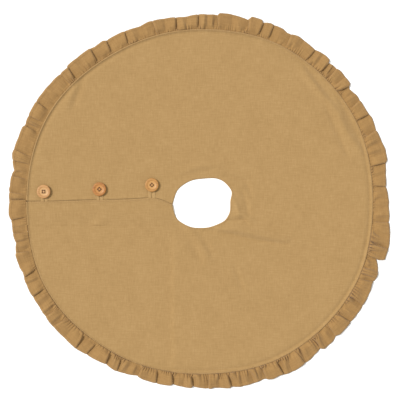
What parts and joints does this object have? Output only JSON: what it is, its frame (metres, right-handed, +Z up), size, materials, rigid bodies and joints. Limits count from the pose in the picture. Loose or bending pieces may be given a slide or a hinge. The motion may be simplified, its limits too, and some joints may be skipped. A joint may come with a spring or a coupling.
{
  "type": "tree skirt",
  "caption": "Round lined cloth tree skirt with a gathered ruffle, a trunk hole and one slit that wooden buttons and cloth loops close.",
  "frame": {"origin": "bottom centre of the bounding box, on the floor under the middle of the skirt", "axes": "+Z up, away from the floor; -X from the trunk hole along the slit; +Y from the slit towards the button side"},
  "size_m": [1.217, 1.211, 0.0117],
  "materials": {
    "face_cloth": "plain-woven natural tan cloth",
    "lining_cloth": "plain cotton lining",
    "ruffle_cloth": "gathered plain-woven natural tan cloth",
    "loop_cloth": "folded and pressed cloth strap",
    "button_wood": "turned wood, satin",
    "brown_thread": "cotton thread"
  },
  "bodies": {
    "skirt": {"face_panel": "face_cloth", "lining_panel": "lining_cloth", "ruffle_strip_1": "ruffle_cloth", "ruffle_strip_2": "ruffle_cloth", "ruffle_strip_3": "ruffle_cloth", "ruffle_strip_4": "ruffle_cloth", "ruffle_underlap_end": "ruffle_cloth"},
    "flap": {"flap_face": "face_cloth", "flap_lining": "lining_cloth", "ruffle_flap_end": "ruffle_cloth", "loop_root_1": "loop_cloth", "loop_root_2": "loop_cloth", "loop_root_3": "loop_cloth"},
    "loop_1": {"loop_1": "loop_cloth"},
    "shank_1": {"button_shank_1": "brown_thread"},
    "button_1": {"button_1": "button_wood", "button_thread_1": "brown_thread"},
    "loop_2": {"loop_2": "loop_cloth"},
    "shank_2": {"button_shank_2": "brown_thread"},
    "button_2": {"button_2": "button_wood", "button_thread_2": "brown_thread"},
    "loop_3": {"loop_3": "loop_cloth"},
    "shank_3": {"button_shank_3": "brown_thread"},
    "button_3": {"button_3": "button_wood", "button_thread_3": "brown_thread"}
  },
  "joints": [
    {"name": "flap_fold", "type": "hinge", "parent": "skirt", "child": "flap", "pos_m": [-0.32, -0.075, 0.0085], "axis": [1, 0, 0], "range_deg": [0, 150]},
    {"name": "loop_1_lift", "type": "hinge", "parent": "flap", "child": "loop_1", "pos_m": [-0.498, 0.0003, 0.0023], "axis": [1, 0, 0], "range_deg": [0, 75], "deforming": ["loop_1"]},
    {"name": "button_1_tilt", "type": "hinge", "parent": "skirt", "child": "shank_1", "pos_m": [-0.5, 0.032, 0.002], "axis": [1, 0, 0], "range_deg": [-6, 6], "stiffness_Nm_per_rad": 0.01},
    {"name": "button_1_turn", "type": "hinge", "parent": "shank_1", "child": "button_1", "pos_m": [-0.5, 0.032, 0.0062], "axis": [0, 0, 1], "range_deg": [-45, 45], "stiffness_Nm_per_rad": 0.002},
    {"name": "loop_2_lift", "type": "hinge", "parent": "flap", "child": "loop_2", "pos_m": [-0.3205, 0.00484, 0.0023], "axis": [1, 0, 0], "range_deg": [0, 75], "deforming": ["loop_2"]},
    {"name": "button_2_tilt", "type": "hinge", "parent": "skirt", "child": "shank_2", "pos_m": [-0.322, 0.0395, 0.002], "axis": [1, 0, 0], "range_deg": [-6, 6], "stiffness_Nm_per_rad": 0.01},
    {"name": "button_2_turn", "type": "hinge", "parent": "shank_2", "child": "button_2", "pos_m": [-0.322, 0.0395, 0.0062], "axis": [0, 0, 1], "range_deg": [-45, 45], "stiffness_Nm_per_rad": 0.002},
    {"name": "loop_3_lift", "type": "hinge", "parent": "flap", "child": "loop_3", "pos_m": [-0.1545, 0.0122, 0.0023], "axis": [1, 0, 0], "range_deg": [0, 75], "deforming": ["loop_3"]},
    {"name": "button_3_tilt", "type": "hinge", "parent": "skirt", "child": "shank_3", "pos_m": [-0.154, 0.053, 0.002], "axis": [1, 0, 0], "range_deg": [-6, 6], "stiffness_Nm_per_rad": 0.01},
    {"name": "button_3_turn", "type": "hinge", "parent": "shank_3", "child": "button_3", "pos_m": [-0.154, 0.053, 0.0062], "axis": [0, 0, 1], "range_deg": [-45, 45], "stiffness_Nm_per_rad": 0.002}
  ]
}
